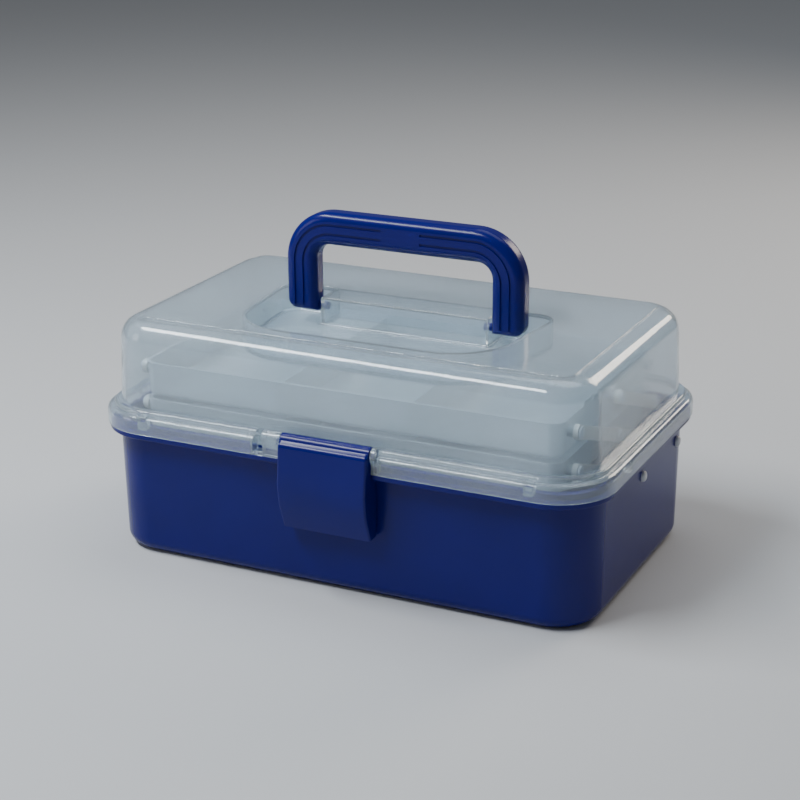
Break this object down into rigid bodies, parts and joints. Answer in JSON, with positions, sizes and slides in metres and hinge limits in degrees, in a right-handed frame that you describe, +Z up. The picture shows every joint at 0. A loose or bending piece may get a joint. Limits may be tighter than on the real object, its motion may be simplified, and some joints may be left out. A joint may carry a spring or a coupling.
{
  "type": "cantilever sewing box",
  "caption": "Plastic box with a clear hinged lid, folding carry handle, front latch and trays that rise on arms as the lid opens.",
  "frame": {"origin": "centre of the flat underside of the base tub", "axes": "+X to the right along the box, +Y to the rear where the hinge is, +Z up"},
  "size_m": [0.33, 0.2198, 0.203],
  "materials": {
    "blue_shell": "glossy deep blue moulded plastic",
    "clear_lid": "glossy, slightly hazy clear moulded plastic",
    "tray_plastic": "milky translucent moulded plastic",
    "arm_plastic": "milky translucent moulded plastic",
    "pin_plastic": "whitish moulded plastic",
    "steel": "drawn wire"
  },
  "bodies": {
    "base": {"base_tub": "blue_shell", "base_pin_left_front": "pin_plastic", "base_pin_left_rear": "pin_plastic", "hinge_pin_left": "steel", "base_pin_right_front": "pin_plastic", "base_pin_right_rear": "pin_plastic", "hinge_pin_right": "steel"},
    "lid": {"lid_shell": "clear_lid"},
    "handle": {"carry_handle": "blue_shell"},
    "latch": {"front_latch": "blue_shell"},
    "long_arms": {"long_arm_left": "arm_plastic", "long_arm_right": "arm_plastic"},
    "lower_tray": {"lower_tray": "tray_plastic", "lower_tray_pin_left_front": "pin_plastic", "lower_tray_pin_left_middle": "pin_plastic", "lower_tray_pin_left_rear": "pin_plastic", "lower_tray_pin_right_front": "pin_plastic", "lower_tray_pin_right_middle": "pin_plastic", "lower_tray_pin_right_rear": "pin_plastic"},
    "upper_tray": {"upper_tray": "tray_plastic", "upper_tray_pin_left_front": "pin_plastic", "upper_tray_pin_left_middle": "pin_plastic", "upper_tray_pin_right_front": "pin_plastic", "upper_tray_pin_right_middle": "pin_plastic"},
    "lower_short_arms": {"lower_short_arm_left": "arm_plastic", "lower_short_arm_right": "arm_plastic"},
    "upper_short_arms": {"upper_short_arm_left": "arm_plastic", "upper_short_arm_right": "arm_plastic"}
  },
  "joints": [
    {"name": "lid_hinge", "type": "hinge", "parent": "base", "child": "lid", "pos_m": [0, 0.107, 0.08], "axis": [-1, 0, 0], "range_deg": [0, 155]},
    {"name": "handle_hinge", "type": "hinge", "parent": "lid", "child": "handle", "pos_m": [0, 0.0075, 0.142], "axis": [1, 0, 0], "range_deg": [0, 90]},
    {"name": "latch_hinge", "type": "hinge", "parent": "lid", "child": "latch", "pos_m": [0, -0.099, 0.0925], "axis": [-1, 0, 0], "range_deg": [0, 100]},
    {"name": "long_arm_swing", "type": "hinge", "parent": "base", "child": "long_arms", "pos_m": [0, 0.062, 0.066], "axis": [-1, 0, 0], "range_deg": [0, 72]},
    {"name": "lower_tray_level", "type": "hinge", "parent": "long_arms", "child": "lower_tray", "pos_m": [0, -0.002, 0.0895], "axis": [1, 0, 0], "range_deg": [0, 72]},
    {"name": "upper_tray_level", "type": "hinge", "parent": "long_arms", "child": "upper_tray", "pos_m": [0, -0.066, 0.113], "axis": [1, 0, 0], "range_deg": [0, 72]},
    {"name": "lower_short_arm_swing", "type": "hinge", "parent": "base", "child": "lower_short_arms", "pos_m": [0, -0.002, 0.066], "axis": [-1, 0, 0], "range_deg": [0, 72]},
    {"name": "upper_short_arm_swing", "type": "hinge", "parent": "lower_tray", "child": "upper_short_arms", "pos_m": [0, 0.062, 0.0895], "axis": [-1, 0, 0], "range_deg": [0, 72]}
  ],
  "couplings": [
    {"joint": "long_arm_swing", "follows": "lid_hinge", "ratio": 0.46},
    {"joint": "lower_tray_level", "follows": "lid_hinge", "ratio": 0.46},
    {"joint": "upper_tray_level", "follows": "lid_hinge", "ratio": 0.46},
    {"joint": "lower_short_arm_swing", "follows": "lid_hinge", "ratio": 0.46},
    {"joint": "upper_short_arm_swing", "follows": "lid_hinge", "ratio": 0.46}
  ]
}
